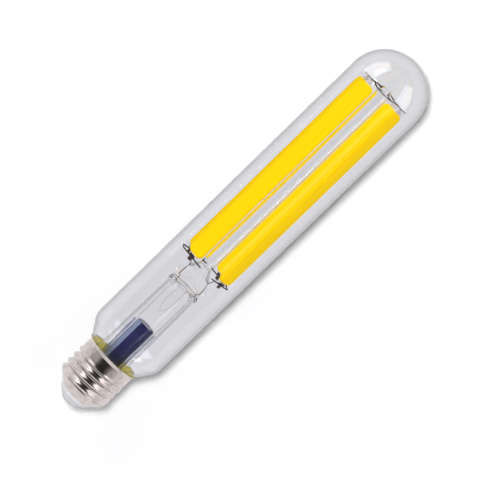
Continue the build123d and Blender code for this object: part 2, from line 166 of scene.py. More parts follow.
paper_look = bpy.data.materials.new("paper_look")
paper_look.use_nodes = True
look = paper_look.node_tree
look.nodes.clear()
rays = look.nodes.new("ShaderNodeLightPath").outputs
white = add_node(look, "ShaderNodeBsdfDiffuse", {"Color": (0.88, 0.88, 0.89, 1)})
seen = math_node(look, "MAXIMUM", rays["Is Camera Ray"], rays["Is Glossy Ray"])
glow = add_node(look, "ShaderNodeEmission", {"Strength": math_node(look, "MULTIPLY", seen, PAPER_GLOW)})
lit = add_node(look, "ShaderNodeAddShader", {0: white, 1: glow})
even_level = map_range(look, rays["Glossy Depth"], 0.0, 1.0, THROUGH_GLASS, IN_MIRRORS)
even = add_node(look, "ShaderNodeEmission", {"Strength": even_level})
under_glass = math_node(look, "MULTIPLY", rays["Is Singular Ray"], UNDER_GLASS)
front = shader_mix(look, under_glass, lit, even)
behind = look.nodes.new("ShaderNodeNewGeometry").outputs["Backfacing"]
both_sides = shader_mix(look, behind, front, look.nodes.new("ShaderNodeBsdfTransparent"))
add_node(look, "ShaderNodeOutputMaterial", {"Surface": both_sides})
paper_mesh.materials.append(paper_look)
print("paper stands", PAPER_GAP, "mm behind the tube")

# %% [markdown]
# A small key lamp sits a little left of the camera, which puts a narrow shadow on the right
# of the tube. Two soft boxes fill the sides. No lamp is seen in a mirror: what metal and glass
# reflect is painted in the world, where it can be placed without changing the light.

# %% Lamps


def soft_box(name, azimuth, elevation, width, height, watts):
    """An area lamp one metre from the middle of the object, turned to face it."""
    light = bpy.data.lights.new(name, "AREA")
    light.shape = "RECTANGLE"
    light.size, light.size_y, light.energy = width, height, watts
    box = linked(name, light)
    toward = direction(azimuth, elevation)
    box.location = camera_target + toward
    box.rotation_mode = "QUATERNION"
    box.rotation_quaternion = (-toward).to_track_quat("-Z", "Y")
    box.visible_camera = box.visible_transmission = box.visible_glossy = False


soft_box("key_lamp", -6.8, 7, 0.16, 0.16, 7.9)
soft_box("left_box", -57, 28, 0.8, 0.6, 2.4)
soft_box("right_box", 50, 26, 0.6, 0.5, 2.0)
print("three lamps")

# %% [markdown]
# Polished metal shows the room: dark where the camera stands, bright walls on both sides of
# it, grey elsewhere. Clean glass in the same room would be veiled by those walls, so it has a
# room of its own, dark but for two soft boxes on the dome, two spots at the shoulders and a
# strip for the line in the rod. Glass is perfectly smooth and metal isn't, so Is Singular Ray
# picks the room. Both patterns depend on the ray's direction alone.

# %% Directions in the room
ROOM_LEVEL = 3.6
world = bpy.data.worlds.new("studio")
bpy.context.scene.world = world
world.use_nodes = True
sky = world.node_tree
sky.nodes.clear()
rays = sky.nodes.new("ShaderNodeLightPath").outputs
sky_where = sky.nodes.new("ShaderNodeTexCoord").outputs["Generated"]
sky_axes = add_node(sky, "ShaderNodeSeparateXYZ", {0: sky_where}).outputs
toward_front = math_node(sky, "MULTIPLY", sky_axes["Y"], -1)
azimuth_angle = math_node(sky, "ARCTAN2", sky_axes["X"], toward_front)
azimuth_share = math_node(sky, "MULTIPLY_ADD", azimuth_angle, 0.5 / pi, 0.5)


def grey(level):
    """A grey as a share of the room's top level."""
    return (*[level / ROOM_LEVEL] * 3, 1)


def by_azimuth(*stops):
    """Grey levels round the room, from -180 to 180 degrees. The camera is at 0."""
    return grey_ramp(sky, azimuth_share, [(turn / 360 + 0.5, level / ROOM_LEVEL) for turn, level in stops])


def by_height(start, end):
    """A mask from 0 to 1 by how far a direction points up."""
    return map_range(sky, sky_axes["Z"], start, end)


print("top level", ROOM_LEVEL)

# %% The room that metal sees
low = by_azimuth(
    (-180, 0.45), (-110, 0.7), (-88, 0.9), (-76, 0.8), (-62, 0.55), (-46, 0.5), (-32, 0.42), (-22, 0.1), (-12, 0.03),
    (12, 0.03), (26, 0.16), (40, 0.5), (58, 0.6), (74, 0.85), (88, 0.9), (110, 0.7), (180, 0.45))
high = by_azimuth(
    (-180, 0.5), (-99, 0.6), (-64, 1.1), (-40, 2.0), (-31, 1.4), (-24, 0.12), (-8, 0.03),
    (12, 0.03), (29, 0.1), (38, 1.9), (58, 1.4), (90, 0.7), (180, 0.5))
level_room = colour_mix(sky, by_height(-0.01, 0.06), low, high)
metal_room = colour_mix(sky, by_height(-0.45, -0.62), level_room, grey(0.95))
print("metal sees walls and a dark front")

# %% The room that glass sees
dark = grey(0.06)
boxes = by_azimuth(
    (-180, 0.04), (-98, 0.06), (-93, 3.0), (-47, 3.0), (-43, 0.05),
    (34, 0.05), (38, 2.5), (76, 2.5), (80, 0.06), (180, 0.04))
spots = by_azimuth(
    (-180, 0.04), (-68, 0.05), (-64, 1.5), (-54, 1.5), (-50, 0.05),
    (50, 0.05), (54, 3.2), (68, 3.2), (72, 0.05), (180, 0.04))
half_up = by_height(-1.0, 1.0)
in_box = grey_ramp(sky, half_up, [(0.5, 0), (0.515, 1), (0.9, 1), (0.92, 0)])
in_spot = grey_ramp(sky, half_up, [(0.14, 0), (0.16, 1), (0.385, 1), (0.4, 0)])
in_strip = by_azimuth((-180, 0), (35, 0), (38, ROOM_LEVEL), (48, ROOM_LEVEL), (51, 0), (180, 0))
deep_in_glass = map_range(sky, rays["Transmission Depth"], 2.0, 3.0)
strip = colour_mix(sky, in_strip, dark, colour_mix(sky, deep_in_glass, grey(0.5), grey(11.0)))
beside_tube = colour_mix(sky, by_height(-0.14, -0.125), dark, strip)
glass_room = colour_mix(sky, in_spot, colour_mix(sky, in_box, beside_tube, boxes), spots)
print("glass sees boxes, spots and a strip")

# %% World
room_colour = colour_mix(sky, rays["Is Singular Ray"], metal_room, glass_room)
room = add_node(sky, "ShaderNodeBackground", {"Color": room_colour, "Strength": ROOM_LEVEL})
soft_light = add_node(sky, "ShaderNodeBackground", {"Color": (0.96, 0.98, 1, 1), "Strength": 0.25})
white_level = map_range(sky, rays["Is Camera Ray"], 0.0, 1.0, THROUGH_GLASS, 1.0)
white = add_node(sky, "ShaderNodeBackground", {"Color": (1, 1, 1, 1), "Strength": white_level})
not_mirrored = math_node(sky, "LESS_THAN", rays["Glossy Depth"], 0.5)
straight_through = math_node(sky, "MULTIPLY", not_mirrored, rays["Is Transmission Ray"])
seen_white = math_node(sky, "MAXIMUM", rays["Is Camera Ray"], straight_through)
lit_or_mirrored = shader_mix(sky, rays["Is Glossy Ray"], soft_light, room)
add_node(sky, "ShaderNodeOutputWorld", {"Surface": shader_mix(sky, seen_white, lit_or_mirrored, white)})
print("world", world.name)

# %% [markdown]
# ## Effects that several finishes share
# No real surface is the same all over. Two node groups carry that: one gives fine relief and
# a mask, the other lets a colour drift between two tones. Both read Object coordinates, so a
# pattern stays where it is when the lamp is seen from another side.

# %% Grain group


def new_group(name, sockets, outputs):
    """A shader node group with named inputs, their defaults, and named outputs."""
    group = bpy.data.node_groups.new(name, "ShaderNodeTree")
    for title, (kind, value) in sockets.items():
        socket = group.interface.new_socket(title, in_out="INPUT", socket_type="NodeSocket" + kind)
        socket.default_value = value
    for title, kind in outputs.items():
        group.interface.new_socket(title, in_out="OUTPUT", socket_type="NodeSocket" + kind)
    return group, group.nodes.new("NodeGroupInput").outputs, group.nodes.new("NodeGroupOutput")


grain_group, given, grain_out = new_group(
    "surface_grain",
    {"Scale": ("Float", 500.0), "Detail": ("Float", 3.0), "Stretch": ("Vector", (1, 1, 1)),
     "Strength": ("Float", 0.2), "Height": ("Float", 0.0001)},
    {"Mask": "Float", "Normal": "Vector"})
grain_where = grain_group.nodes.new("ShaderNodeTexCoord").outputs["Object"]
stretched = add_node(grain_group, "ShaderNodeVectorMath", {0: grain_where, 1: given["Stretch"]}, operation="MULTIPLY")
grain_noise = add_node(grain_group, "ShaderNodeTexNoise", {
    "Vector": stretched, "Scale": given["Scale"], "Detail": given["Detail"]}).outputs["Fac"]
grain_bump = add_node(grain_group, "ShaderNodeBump", {
    "Height": grain_noise, "Strength": given["Strength"], "Distance": given["Height"]})
fill(grain_group, grain_out, {"Mask": grain_noise, "Normal": grain_bump})
print("group", grain_group.name)

# %% Drift group
drift_group, given, drift_out = new_group(
    "colour_drift",
    {"Scale": ("Float", 200.0), "Low": ("Float", 0.35), "High": ("Float", 0.65),
     "Tone A": ("Color", (0.5, 0.5, 0.5, 1)), "Tone B": ("Color", (0.6, 0.6, 0.6, 1))},
    {"Color": "Color", "Mask": "Float"})
drift_where = drift_group.nodes.new("ShaderNodeTexCoord").outputs["Object"]
drift_noise = add_node(drift_group, "ShaderNodeTexNoise", {
    "Vector": drift_where, "Scale": given["Scale"], "Detail": 4}).outputs["Fac"]
drift_mask = map_range(drift_group, drift_noise, given["Low"], given["High"])
drift_colour = colour_mix(drift_group, drift_mask, given["Tone A"], given["Tone B"])
fill(drift_group, drift_out, {"Color": drift_colour, "Mask": drift_mask})
print("group", drift_group.name)

# %% [markdown]
# ## Finishes
# Most finishes on this lamp differ in a few numbers: a colour in two tones, how rough it is,
# and how its grain runs. One function builds them from those numbers. What is the same all
# over a surface is set on the shader's own socket.

# %% A finish from its numbers


def tone(red, green, blue):
    """A colour as it is read off a screen, from 0 to 255, turned into a linear one."""
    channels = []
    for value in (red, green, blue):
        share = value / 255
        channels.append(share / 12.92 if share < 0.04045 else ((share + 0.055) / 1.055) ** 2.4)
    return (*channels, 1)


def grain(scale, strength, height, **more):
    """The grain group's numbers, with the relief's height in millimetres."""
    return {"Scale": scale, "Strength": strength, "Height": height * MM, **more}


def new_look(name, group_values):
    """A material with the drift group's colour on its Principled shader."""
    material = bpy.data.materials.new(name)
    material.use_nodes = True
    tree = material.node_tree
    colour = add_node(tree, "ShaderNodeGroup", group_values, node_tree=drift_group).outputs["Color"]
    return material, tree, fill(tree, tree.nodes["Principled BSDF"], {"Base Color": colour})


def finish_of(name, tones, roughness, drift=(200, 0.35, 0.65), grain=None, **shader_values):
    """A Principled material whose colour drifts and whose roughness and relief follow a grain."""
    material, tree, shader = new_look(name, {
        "Scale": drift[0], "Low": drift[1], "High": drift[2], "Tone A": tone(*tones[0]), "Tone B": tone(*tones[1])})
    relief = add_node(tree, "ShaderNodeGroup", grain, node_tree=grain_group).outputs
    rough = map_range(tree, relief["Mask"], 0.0, 1.0, *roughness)
    fill(tree, shader, {"Roughness": rough, "Normal": relief["Normal"]})
    fill(tree, shader, {title.replace("_", " "): value for title, value in shader_values.items()})
    return material


def open_look(material):
    """A finished material's tree, its Principled shader and the socket that colours it."""
    shader = material.node_tree.nodes["Principled BSDF"]
    return material.node_tree, shader, shader.inputs["Base Color"].links[0].from_socket


print("finish_of is ready")

# %% [markdown]
# Glass is a clear Principled shader. Cycles would stop the lamps' light at it, so rays from
# lamps, and rays that bounce off the paper, meet a Transparent shader instead. Its tint is
# darker where the glass is seen edge on, as a real tube's shadow has darker rims. The glass
# of the stem and of the exhaust tube bends light less than real glass would: the photograph's
# flat light hides their edges, and full strength would draw them far too dark.

# %% Clear glass


def glass_of(name, tint, ior, shade, rim_shade, drift):
    """Clear glass with a tint, and the shade that its faces and its rims cast."""
    material, tree, shader = new_look(name, {
        "Scale": drift, "Tone A": tone(*tint), "Tone B": tone(*[min(255, c + 2) for c in tint])})
    fill(tree, shader, {"Transmission Weight": 1.0, "IOR": ior, "Roughness": 0.0})
    edge_on = add_node(tree, "ShaderNodeLayerWeight", {"Blend": 0.5}).outputs["Facing"]
    shadow_tint = grey_ramp(tree, edge_on, [(0.2, shade), (0.55, rim_shade)])
    passing = add_node(tree, "ShaderNodeBsdfTransparent", {"Color": shadow_tint})
    rays = tree.nodes.new("ShaderNodeLightPath").outputs
    lamp_or_paper = math_node(tree, "MAXIMUM", rays["Is Shadow Ray"], rays["Is Diffuse Ray"])
    fill(tree, tree.nodes["Material Output"], {"Surface": shader_mix(tree, lamp_or_paper, shader, passing)})
    return material


blown_glass = glass_of("blown_glass", (247, 247, 250), 1.45, 0.97, 0.0, 60.0)
stem_glass = glass_of("stem_glass", (254, 254, 254), 1.2, 0.99, 0.9, 200.0)
exhaust_glass = glass_of("exhaust_glass", (254, 254, 254), 1.09, 0.99, 0.9, 200.0)
cane_glass = glass_of("cane_glass", (254, 254, 254), 1.5, 0.99, 0.9, 150.0)
print("four glasses")

# %% [markdown]
# The cap is nickelled brass, rolled to shape. The rollers leave fine lines round it, so its
# grain is stretched along the turn. The filaments wear a coat of yellow silicone with a fine
# phosphor powder in it. The coats carry a painted yellow glow, so they stay flat and bright
# and hardly shade. The cement lies deep behind glass, where little lamp light reaches it, so
# a painted glow in its own colour lifts it too.

# %% Metals and coats
nickel = finish_of(
    "rolled_nickel", ((212, 202, 198), (184, 173, 168)), (0.1, 0.2), (420, 0.42, 0.75),
    grain(260, 0.09, 0.1, Detail=5.0, Stretch=(0.25, 0.25, 6.0)), Metallic=1.0)
contact_finish = finish_of(
    "tinned_contact", ((196, 194, 190), (172, 166, 158)), (0.25, 0.42), (700, 0.3, 0.7),
    grain(900, 0.3, 0.15), Metallic=1.0)
plug_finish = finish_of(
    "moulded_plug", ((234, 233, 237), (226, 225, 230)), (0.35, 0.5), (300, 0.3, 0.7),
    grain(1200, 0.15, 0.08))
# The cement's emission in its own colour is a painted glow, standing in for lamp light that hardly reaches it behind
# the glass.
cement_finish = finish_of(
    "grainy_cement", ((214, 192, 16), (140, 136, 30)), (0.75, 0.95), (380, 0.35, 0.62),
    grain(1600, 0.8, 0.3, Detail=6.0), Emission_Strength=0.72)
cement_tree, cement_shader, cement_colour = open_look(cement_finish)
fill(cement_tree, cement_shader, {"Emission Color": cement_colour})
# The silicone's emission is a painted glow that keeps the coats flat and bright.
silicone = finish_of(
    "yellow_silicone", ((200, 168, 0), (204, 170, 0)), (0.55, 0.7), (900, 0.35, 0.65),
    grain(2500, 0.12, 0.06), Specular_IOR_Level=0.08,
    Emission_Color=(1.0, 0.63, 0.0, 1), Emission_Strength=0.66)
ceramic = finish_of(
    "strip_ceramic", ((236, 232, 220), (226, 222, 210)), (0.5, 0.65), (800, 0.3, 0.7),
    grain(2000, 0.1, 0.05))
lug_finish = finish_of(
    "lug_metal", ((112, 98, 88), (72, 60, 54)), (0.3, 0.5), (900, 0.35, 0.65),
    grain(1500, 0.25, 0.08), Metallic=1.0)
bright_lug = finish_of(
    "bright_lug", ((238, 232, 230), (214, 200, 196)), (0.25, 0.45), (900, 0.35, 0.65),
    grain(1500, 0.2, 0.06), Metallic=0.5)
wire_finish = finish_of(
    "oxidised_wire", ((66, 52, 44), (104, 84, 70)), (0.38, 0.6), (700, 0.4, 0.75),
    grain(1800, 0.3, 0.06), Metallic=0.9)
weld_finish = finish_of(
    "weld_bead", ((120, 104, 96), (176, 128, 96)), (0.3, 0.55), (1100, 0.35, 0.65),
    grain(2200, 0.5, 0.1), Metallic=0.9)
print("metals and coats")

# %% [markdown]
# The driver sits in the cap and in the hollow of the stem. Little of it shows, apart from the
# capacitor in its dark blue film, but each part has its own finish.

# %% Driver finishes
aluminium = finish_of(
    "can_aluminium", ((226, 228, 232), (206, 208, 214)), (0.2, 0.34), (500, 0.3, 0.7),
    grain(700, 0.08, 0.08, Stretch=(1, 1, 0.2)), Metallic=0.35)
laminate = finish_of(
    "board_laminate", ((44, 92, 58), (58, 108, 70)), (0.35, 0.5), (420, 0.4, 0.6),
    grain(1400, 0.2, 0.06, Stretch=(1, 1, 0.4)))
chip_plastic = finish_of(
    "chip_plastic", ((30, 30, 32), (42, 42, 44)), (0.5, 0.7), (900, 0.3, 0.7),
    grain(2600, 0.25, 0.04))
ferrite = finish_of(
    "ferrite", ((52, 50, 50), (70, 66, 64)), (0.45, 0.7), (800, 0.3, 0.7),
    grain(1900, 0.4, 0.08))
winding_copper = finish_of(
    "winding_copper", ((184, 100, 52), (150, 74, 36)), (0.2, 0.35), (900, 0.35, 0.65),
    grain(900, 0.6, 0.1, Stretch=(0.2, 6.0, 0.2)), Metallic=0.8)
resistor_lacquer = finish_of(
    "resistor_lacquer", ((88, 128, 150), (104, 144, 164)), (0.2, 0.35), (700, 0.3, 0.7),
    grain(1300, 0.2, 0.06))
rubber = finish_of(
    "bung_rubber", ((34, 32, 31), (48, 45, 43)), (0.6, 0.8), (900, 0.3, 0.7),
    grain(2000, 0.3, 0.05))
print("driver finishes")

# %% [markdown]
# A lead wire changes along its length. It is bright and tinned in the hollow of the stem, and
# dark from the press upwards, where the heat of the sealing has tarnished it. The height along
# Z picks the stretch.

# %% Lead wire finish
TARNISH_START_Z, TARNISH_END_Z = 70.2, 71.6
lead_finish = finish_of(
    "lead_wire", ((214, 210, 208), (184, 180, 178)), (0.3, 0.5), (600, 0.35, 0.65),
    grain(1800, 0.2, 0.05), Metallic=0.3)
lead_tree, lead_shader, bright = open_look(lead_finish)
lead_where = lead_tree.nodes.new("ShaderNodeTexCoord").outputs["Object"]
lead_height = add_node(lead_tree, "ShaderNodeSeparateXYZ", {0: lead_where}).outputs["Z"]
tarnish = map_range(lead_tree, lead_height, TARNISH_START_Z * MM, TARNISH_END_Z * MM)
fill(lead_tree, lead_shader, {"Base Color": colour_mix(lead_tree, tarnish, bright, tone(84, 66, 58))})
print("lead wire finish")

# %% [markdown]
# The capacitor's film is dark blue with one pale stripe along it, which marks the negative
# leg on every capacitor of this kind. The stripe is picked by the angle round the can's axis.
# The loose sleeve round it is a clear film, soft and creased, that lets most rays pass.

# %% Capacitor film
DRIVER_X = 0.4
STRIPE_AZIMUTH, STRIPE_HALF, STRIPE_EDGE = -140.5, 19.5, 1.5
film = finish_of(
    "capacitor_film", ((14, 15, 60), (27, 25, 84)), (0.24, 0.36), (260, 0.3, 0.7),
    grain(520, 0.45, 0.16), Specular_IOR_Level=0.3)
film_tree, film_shader, dark_blue = open_look(film)
film_where = film_tree.nodes.new("ShaderNodeTexCoord").outputs["Object"]
from_can = add_node(film_tree, "ShaderNodeMapping", {"Vector": film_where, "Location": (-DRIVER_X * MM, 0, 0)})
film_axes = add_node(film_tree, "ShaderNodeSeparateXYZ", {0: from_can}).outputs
film_turn = math_node(film_tree, "ARCTAN2", film_axes["Y"], film_axes["X"])
from_stripe = math_node(film_tree, "ADD", film_turn, radians(-STRIPE_AZIMUTH))
away = math_node(film_tree, "ABSOLUTE", from_stripe)
stripe = map_range(film_tree, away, radians(STRIPE_HALF), radians(STRIPE_HALF + STRIPE_EDGE), 1.0, 0.0)
fill(film_tree, film_shader, {"Base Color": colour_mix(film_tree, stripe, dark_blue, tone(134, 146, 176))})
print("film with a stripe")

# %% Clear film
clear_film = finish_of(
    "clear_film", ((112, 124, 176), (204, 212, 232)), (0.12, 0.3), (240, 0.3, 0.7),
    grain(160, 0.9, 0.6, Detail=3.0, Stretch=(2.5, 2.5, 0.35)), IOR=1.45)
veil_tree, veil_shader, _ = open_look(clear_film)
veil_edge = add_node(veil_tree, "ShaderNodeLayerWeight", {"Blend": 0.5}).outputs["Facing"]
fill(veil_tree, veil_shader, {"Alpha": map_range(veil_tree, veil_edge, 0.28, 0.95, 0.02, 0.8)})
print("clear film")

# %% [markdown]
# ## Making meshes
# Most of the lamp is turned or blown, so most pieces come from one lathe function: an outline
# of radius and height is carried round the axis. The outline's bends are true arcs with many
# points, because glass shows every facet, and long straight runs are divided, so that the
# shading next to a bend doesn't creep along the tube.

# %% Outlines


def swing(start, end, share):
    """A point on the arc between two arms of the same length."""
    angle = start.angle(end)
    return (start * sin((1 - share) * angle) + end * sin(share * angle)) / sin(angle)


def bend(corners, radii, steps=14):
    """A path through corners, each rounded with its radius, in two or three dimensions."""
    corners = [Vector(corner) for corner in corners]
    path = [corners[0]]
    for before, corner, after, radius in zip(corners, corners[1:], corners[2:], radii):
        into, out = (before - corner).normalized(), (after - corner).normalized()
        half = into.angle(out) / 2
        middle = corner + (into + out).normalized() * radius / sin(half)
        first = corner + into * radius / tan(half) - middle
        last = corner + out * radius / tan(half) - middle
        path += [middle + swing(first, last, step / steps) for step in range(steps + 1)]
    return path + [corners[-1]]


def arc(start, end, tangent, steps=14):
    """An arc in the plane that leaves its start along the tangent and ends at the end."""
    start, chord = Vector(start), Vector(end) - Vector(start)
    tangent = Vector(tangent).normalized()
    side = Vector((-tangent.y, tangent.x))
    radius = chord.length_squared / (2 * chord.dot(side))
    middle = start + side * radius
    angle = 2 * tangent.angle_signed(chord)
    arm = start - middle
    path = []
    for step in range(steps + 1):
        turn = -angle * step / steps
        across, up = arm.x * cos(turn) - arm.y * sin(turn), arm.x * sin(turn) + arm.y * cos(turn)
        path.append(middle + Vector((across, up)))
    return path


def divided(path, longest=3.0):
    """The same path with its long runs cut into shorter ones, and no point twice."""
    points = [Vector(path[0])]
    for corner in path[1:]:
        run = Vector(corner) - points[-1]
        if run.length < 1e-5:
            continue
        pieces = max(1, int(run.length / longest) + 1)
        start = points[-1].copy()
        points += [start + run * (piece + 1) / pieces for piece in range(pieces)]
    return points


print("outline helpers")

# %% Meshes


def mesh_piece(name, points, faces, sharp=35):
    """An object from points in millimetres, with its faces turned outwards and shaded smooth."""
    mesh = bpy.data.meshes.new(name)
    mesh.from_pydata([[c * MM for c in point] for point in points], [], faces)
    shape = bmesh.new()
    shape.from_mesh(mesh)
    bmesh.ops.recalc_face_normals(shape, faces=shape.faces)
    shape.to_mesh(mesh)
    shape.free()
    mesh.shade_smooth()
    mesh.set_sharp_from_angle(angle=radians(sharp))
    return linked(name, mesh)


def lathe(name, outline, x=0.0, steps=160, moved=None):
    """Carries a closed outline of (radius, z) round an axis parallel to the lamp's."""
    points, rings = [], []
    for radius, z in outline:
        first = len(points)
        if radius < 1e-5:
            points.append(Vector((x, 0, z)))
            rings.append([first] * steps)
            continue
        for step in range(steps):
            turn = 2 * pi * step / steps
            points.append(Vector((x + radius * cos(turn), radius * sin(turn), z)))
        rings.append(list(range(first, first + steps)))
    faces = []
    for lower, upper in zip(rings, rings[1:] + rings[:1]):
        for step in range(steps):
            after = (step + 1) % steps
            corners = list(dict.fromkeys((lower[step], lower[after], upper[after], upper[step])))
            if len(corners) > 2:
                faces.append(corners)
    if moved:
        points = [moved(point) for point in points]
    return mesh_piece(name, points, faces)


def place(piece, material, slot, *nodes):
    """Gives a piece its finish and hides the frame's nodes that it stands for; the slot is not used."""
    piece.data.materials.clear()
    piece.data.materials.append(material)
    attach(piece, "root")
    if nodes:
        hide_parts(*nodes)
    piece.data.calc_loop_triangles()
    print(piece.name, len(piece.data.loop_triangles), "triangles")

# %% [markdown]
# ## Glass envelope
# A tube of clear glass, 37 mm across, closed by a round dome and drawn in at the foot to a
# neck that the cap is cemented on. A subdivided cylinder would do for a picture, but glass
# needs both its walls to bend light as it does, so the lathe gets the outer and inner outline.

# %% Envelope
NECK_RADIUS, NECK_END_Z, SHOULDER_START_Z = 11.0, 19.0, 25.4
SHOULDER_ANGLE, DOME_CENTRE_Z, GLASS_WALL = 34.0, 192.6, 1.0
shoulder_end_z = SHOULDER_START_Z + (tube_radius - NECK_RADIUS) / tan(radians(SHOULDER_ANGLE))


def envelope_outline(inset):
    """Half the section of one wall, from the neck's end up to the top of the dome."""
    shift = inset * tan(radians(SHOULDER_ANGLE / 2))
    tube, neck = tube_radius - inset, NECK_RADIUS - inset
    corners = [
        (neck, NECK_END_Z), (neck, SHOULDER_START_Z + shift),
        (tube, shoulder_end_z + shift), (tube, DOME_CENTRE_Z),
    ]
    wall = bend(corners, [4 + inset, 8 - inset], 18)
    turns = [step * pi / 96 for step in range(1, 49)]
    dome = [Vector((tube * cos(turn), DOME_CENTRE_Z + tube * sin(turn))) for turn in turns]
    dome[-1].x = 0
    return divided(wall + dome, 8.0)


envelope = lathe("blown_envelope", envelope_outline(0) + envelope_outline(GLASS_WALL)[::-1], steps=360)
place(envelope, blown_glass, "clear_glass", "glass_envelope")

# %% [markdown]
# ## Glass stem
# Inside stands the stem: a tube with a flared foot, closed at its top by a press, where the
# hot glass was squeezed flat round the two lead wires. Above the press a solid button carries
# the centre rod. The lathe makes the round form, and its points are pressed in as by a bar,
# smoothly, because a step in the glass shows as a hard line. Stem, tube, rod and sleeve cast
# no shadow: with them a lamp's ray would meet more than eight clear faces and be cut off.

# %% Stem
PRESS_Z, PRESS_HALF, PRESS_REACH, BUTTON_TOP_Z = 72.7, 3.2, 4.4, 85.0
STEM_RADIUS, HOLLOW_RADIUS = 8.6, 6.65


def rolled(point):
    """Presses the stem in from the front and back, as a round bar laid across it would."""
    away = min(1.0, abs(point.z - PRESS_Z) / PRESS_REACH)
    limit = PRESS_HALF + (STEM_RADIUS - PRESS_HALF) * away**2 * (3 - 2 * away)
    if Vector((point.x, point.y)).length < HOLLOW_RADIUS:
        limit -= GLASS_WALL
    if away < 1:
        point.y = max(-limit, min(limit, point.y))
    return point


def ball_cap(edge_radius, edge_z, top_z, steps=14):
    """An arc from a round edge to the axis, with its centre on the axis."""
    rise = top_z - edge_z
    ball = (edge_radius**2 + rise**2) / (2 * abs(rise))
    centre = Vector((0, top_z - ball if rise > 0 else top_z + ball))
    first, last = Vector((edge_radius, edge_z)) - centre, Vector((0, top_z)) - centre
    return [centre + swing(first, last, step / steps) for step in range(steps + 1)]


stem_outside = [Vector(p) for p in ((10, 17.8), (11, 17.8), (11, 19))]
stem_outside += arc((8.25, 24.5), (10, 19), (0, -1))[::-1]
stem_outside += bend(
    [(8.25, 24.6), (7.6, 67.0), (8.2, 72.0), (6.7, PRESS_Z), (8.4, 73.4), (8.4, 77.2), (3.2, BUTTON_TOP_Z)],
    [6, 0.9, 0.25, 0.9, 5.0], 12)
stem_outside += [Vector((0, BUTTON_TOP_Z))]
stem_inside = ball_cap(6.4, 69.6, 72.6)[::-1] + arc((7.25, 24.5), (10, 17.8), (0, -1))
stem_inside[0].x = 0
stem = lathe("stem", divided(stem_outside, 0.5) + divided(stem_inside, 2.0), moved=rolled)
stem.visible_shadow = False
place(stem, stem_glass, "clear_glass", "glass_stem")

# %% [markdown]
# The exhaust tube, through which the lamp was emptied and filled with gas, hangs from the
# press inside the stem, and its tip was melted shut. The centre rod is a glass cane with a
# round melted head.

# %% Exhaust tube and centre rod
EXHAUST_RADIUS, EXHAUST_END_Z, TAPER_Z, TIP_Z = 3.0, 71.9, 60.5, 54.5
tip_outside = ball_cap(1.0, TIP_Z + 0.5, TIP_Z, 8)[::-1]
tip_outside += bend([(1.0, TIP_Z + 0.5), (EXHAUST_RADIUS, TAPER_Z), (EXHAUST_RADIUS, EXHAUST_END_Z)], [9], 12)
bore = EXHAUST_RADIUS - GLASS_WALL
tip_inside = bend([(bore, EXHAUST_END_Z), (bore, TAPER_Z), (0, TIP_Z + 2)], [5], 12)
tip_outside[0].x = 0
exhaust = lathe("exhaust", divided(tip_outside) + divided(tip_inside), steps=96)
exhaust.visible_shadow = False
place(exhaust, exhaust_glass, "clear_glass", "exhaust_tube")

ROD_RADIUS, ROD_ROUND, ROD_END_Z = 3.2, 1.6, 194.43
rod_foot = BUTTON_TOP_Z + 0.02
rod_side = [(0, rod_foot), (ROD_RADIUS, rod_foot), (ROD_RADIUS, ROD_END_Z - ROD_ROUND)]
rod_head = arc(rod_side[-1], (ROD_RADIUS - ROD_ROUND, ROD_END_Z), (0, 1)) + [Vector((0, ROD_END_Z))]
rod = lathe("cane", divided(rod_side + [tuple(p) for p in rod_head]), steps=96)
rod.visible_shadow = False
place(rod, cane_glass, "clear_glass", "centre_rod")

# %% [markdown]
# ## Growing pieces with Geometry Nodes
# The thread, the wires and the weld beads follow rules, so trees of Geometry Nodes make them.
# One function runs a tree on a base object, turns the result into a plain mesh and removes
# the modifier, because the export drops instances and live modifiers.

# %% Run a tree


def new_tree(name, sockets):
    """A Geometry Nodes tree with a Geometry input and output and named inputs."""
    tree = bpy.data.node_groups.new(name, "GeometryNodeTree")
    tree.interface.new_socket("Geometry", in_out="INPUT", socket_type="NodeSocketGeometry")
    for title, kind in sockets.items():
        tree.interface.new_socket(title, in_out="INPUT", socket_type="NodeSocket" + kind)
    tree.interface.new_socket("Geometry", in_out="OUTPUT", socket_type="NodeSocketGeometry")
    return tree, tree.nodes.new("NodeGroupInput").outputs


def end_tree(tree, given, geometry):
    """Ends a tree with Realize Instances and Set Material, as the export needs."""
    solid = add_node(tree, "GeometryNodeRealizeInstances", {0: geometry})
    painted = add_node(tree, "GeometryNodeSetMaterial", {"Geometry": solid, "Material": given["Material"]})
    add_node(tree, "NodeGroupOutput", {0: painted})
    print("tree", tree.name)


def grow(name, base, tree, values):
    """Runs the tree on a base object with values by input name, and keeps a plain mesh."""
    modifier = base.modifiers.new("grow", "NODES")
    modifier.node_group = tree
    for item in tree.interface.items_tree:
        if item.item_type == "SOCKET" and item.in_out == "INPUT" and item.name in values:
            modifier[item.identifier] = values[item.name]
    ready = base.evaluated_get(bpy.context.evaluated_depsgraph_get())
    mesh = bpy.data.meshes.new_from_object(ready)
    base.modifiers.remove(modifier)
    bpy.data.objects.remove(base)
    return linked(name, mesh)


def base_of(name, points, edges=()):
    """A bare object from points in millimetres, for a tree to grow on."""
    mesh = bpy.data.meshes.new(name)
    mesh.from_pydata([[c * MM for c in point] for point in points], edges, [])
    return linked(name, mesh)


print("trees can grow")

# %% [markdown]
# ## Screw shell
# The cap's shell is one thin sheet. A roller pressed the round thread into it, so a crest
# outside is a hollow inside, and the wall stays as thick. Cutting a thread into a solid would
# give it a flat, sharp form. Here the tree moves a plain turned sheet in and out by a wave
# that climbs one pitch for each turn, and the wave fades out at both ends.

# %% Thread tree
thread_tree, given = new_tree("rolled_thread", {
    "Pitch": "Float", "Depth": "Float", "Start": "Float", "Turns": "Float", "Runout": "Float",
    "Phase": "Float", "Material": "Material"})


def thread_math(operation, *terms):
    return math_node(thread_tree, operation, *terms)


